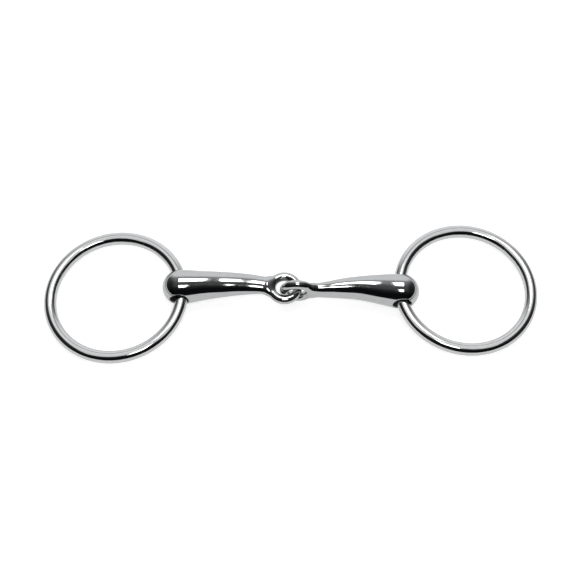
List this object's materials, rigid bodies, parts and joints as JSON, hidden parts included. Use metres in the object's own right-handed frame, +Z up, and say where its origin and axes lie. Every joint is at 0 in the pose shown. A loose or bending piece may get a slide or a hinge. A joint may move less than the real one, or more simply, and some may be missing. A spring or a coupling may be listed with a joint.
{
  "type": "snaffle bit",
  "caption": "Loose-ring snaffle bit: two tapered steel mouthpiece arms hooked together by eyes in the middle, with a round wire ring running loose in the ball-shaped end of each arm.",
  "frame": {"origin": "on the floor under the middle of the bit, as it lies flat with both rings spread out", "axes": "+X along the mouthpiece from the left ring to the right ring, +Y the way the arms bow, +Z up"},
  "size_m": [0.2382, 0.074, 0.0168],
  "materials": {
    "mouthpiece_steel": "mirror-polished solid stainless steel, not plated",
    "ring_steel": "mirror-polished solid stainless steel wire, not plated"
  },
  "bodies": {
    "left_arm": {"left_mouthpiece_arm": "mouthpiece_steel"},
    "right_arm": {"right_mouthpiece_arm": "mouthpiece_steel"},
    "left_ring": {"left_ring": "ring_steel"},
    "right_ring": {"right_ring": "ring_steel"}
  },
  "joints": [
    {"name": "centre_fold", "type": "hinge", "parent": "left_arm", "child": "right_arm", "pos_m": [-0.00313, 0.00136, 0.0081], "axis": [0, 0, 1], "range_deg": [-90, 90]},
    {"name": "left_ring_swing", "type": "hinge", "parent": "left_arm", "child": "left_ring", "pos_m": [-0.05343, 0.00176, 0.0084], "axis": [0, 1, 0], "range_deg": [-105, 105]},
    {"name": "right_ring_swing", "type": "hinge", "parent": "right_arm", "child": "right_ring", "pos_m": [0.05321, -0.00052, 0.0084], "axis": [0, 1, 0], "range_deg": [-105, 105]}
  ]
}
